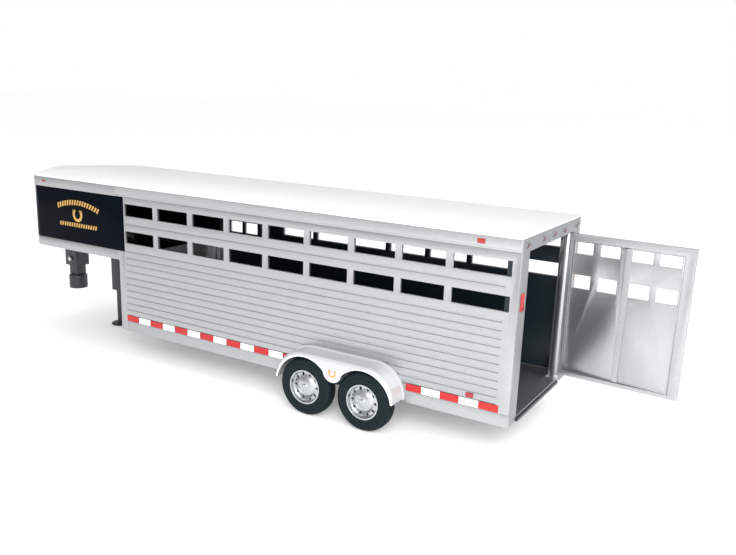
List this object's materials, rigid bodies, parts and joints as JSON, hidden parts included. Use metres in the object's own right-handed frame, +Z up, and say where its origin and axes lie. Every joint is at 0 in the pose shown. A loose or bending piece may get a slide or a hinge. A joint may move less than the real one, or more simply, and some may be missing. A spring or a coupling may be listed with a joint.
{
  "type": "toy livestock trailer",
  "caption": "Moulded toy gooseneck livestock trailer with windowed slatted sides, swinging rear gate with sliding half, escape door, tandem wheels and drop-leg jack.",
  "frame": {"origin": "centre of the whole part's box, on the ground plane the tyres and the jack foot stand on", "axes": "+X towards the rear gate, +Y towards the right side of the trailer, +Z up"},
  "size_m": [0.5064, 0.1356, 0.1274],
  "materials": {
    "silver_plastic": "satin metallic",
    "white_roof": "satin",
    "grey_fascia": "satin metallic",
    "black_plastic": "glossy",
    "tyre_rubber": "matte",
    "bright_rim": "vacuum plated",
    "dark_steel": "satin black",
    "bare_steel": "plain",
    "lamp_lens": "clear gloss",
    "red_marking": "satin"
  },
  "bodies": {
    "trailer": {"axle_carrier": "dark_steel", "axle_front": "bare_steel", "axle_rear": "bare_steel", "bumper_strip": "black_plastic", "coupler_neck": "dark_steel", "coupler_screws": "bare_steel", "coupler_socket": "dark_steel", "coupler_stem": "dark_steel", "door_frame": "silver_plastic", "door_hinges": "bare_steel", "fascia_left": "grey_fascia", "fascia_right": "grey_fascia", "fender_left": "silver_plastic", "fender_right": "silver_plastic", "floor_pan": "black_plastic", "floor_screws": "bare_steel", "front_post_left": "silver_plastic", "front_post_right": "silver_plastic", "front_wall": "silver_plastic", "gate_knuckle": "silver_plastic", "gate_pin": "bare_steel", "header_lights": "lamp_lens", "jack_tube": "dark_steel", "liner_left": "black_plastic", "liner_right": "black_plastic", "marker_lights_left": "red_marking", "marker_lights_right": "red_marking", "nose_fascia": "grey_fascia", "nose_floor": "black_plastic", "nose_panel": "black_plastic", "nose_rail": "silver_plastic", "rear_frame": "silver_plastic", "red_tape_left": "red_marking", "red_tape_right": "red_marking", "reflector_left": "red_marking", "reflector_right": "red_marking", "roof": "white_roof", "side_rail_left": "silver_plastic", "side_rail_right": "silver_plastic", "side_skin_left": "silver_plastic", "side_skin_right": "silver_plastic"},
    "rear_gate": {"gate_frame": "silver_plastic", "gate_panel": "silver_plastic"},
    "half_gate": {"half_gate": "silver_plastic"},
    "gate_latch": {"gate_latch": "silver_plastic"},
    "escape_door": {"door_panel": "silver_plastic", "door_liner": "black_plastic"},
    "door_latch": {"door_latch": "silver_plastic"},
    "jack_leg": {"jack_leg": "dark_steel", "jack_foot": "dark_steel"},
    "wheel_front_left": {"tyre_front_left": "tyre_rubber", "rim_front_left": "bright_rim"},
    "wheel_front_right": {"tyre_front_right": "tyre_rubber", "rim_front_right": "bright_rim"},
    "wheel_rear_left": {"tyre_rear_left": "tyre_rubber", "rim_rear_left": "bright_rim"},
    "wheel_rear_right": {"tyre_rear_right": "tyre_rubber", "rim_rear_right": "bright_rim"}
  },
  "joints": [
    {"name": "wheel_front_left_spin", "type": "hinge", "parent": "trailer", "child": "wheel_front_left", "pos_m": [0.05046, -0.0611, 0.0187], "axis": [0, 1, 0], "continuous": true},
    {"name": "wheel_front_right_spin", "type": "hinge", "parent": "trailer", "child": "wheel_front_right", "pos_m": [0.05046, 0.0611, 0.0187], "axis": [0, 1, 0], "continuous": true},
    {"name": "wheel_rear_left_spin", "type": "hinge", "parent": "trailer", "child": "wheel_rear_left", "pos_m": [0.09246, -0.0611, 0.0187], "axis": [0, 1, 0], "continuous": true},
    {"name": "wheel_rear_right_spin", "type": "hinge", "parent": "trailer", "child": "wheel_rear_right", "pos_m": [0.09246, 0.0611, 0.0187], "axis": [0, 1, 0], "continuous": true},
    {"name": "gate_swing", "type": "hinge", "parent": "trailer", "child": "rear_gate", "pos_m": [0.17616, 0.0371, 0.07], "axis": [0, 0, 1], "range_deg": [-87, 18]},
    {"name": "half_gate_slide", "type": "slide", "parent": "rear_gate", "child": "half_gate", "axis": [0.9986, -0.0523, 0], "range_m": [-0.0315, 0]},
    {"name": "gate_latch_turn", "type": "hinge", "parent": "rear_gate", "child": "gate_latch", "pos_m": [0.24999, 0.03583, 0.0656], "axis": [0.0523, 0.9986, 0], "range_deg": [0, 90]},
    {"name": "escape_door_swing", "type": "hinge", "parent": "trailer", "child": "escape_door", "pos_m": [-0.11454, 0.054, 0.074], "axis": [0, 0, 1], "range_deg": [0, 100]},
    {"name": "door_latch_turn", "type": "hinge", "parent": "escape_door", "child": "door_latch", "pos_m": [-0.08074, 0.0537, 0.066], "axis": [0, 1, 0], "range_deg": [0, 90]},
    {"name": "jack_leg_slide", "type": "slide", "parent": "trailer", "child": "jack_leg", "axis": [0, 0, 1], "range_m": [0, 0.024]}
  ]
}
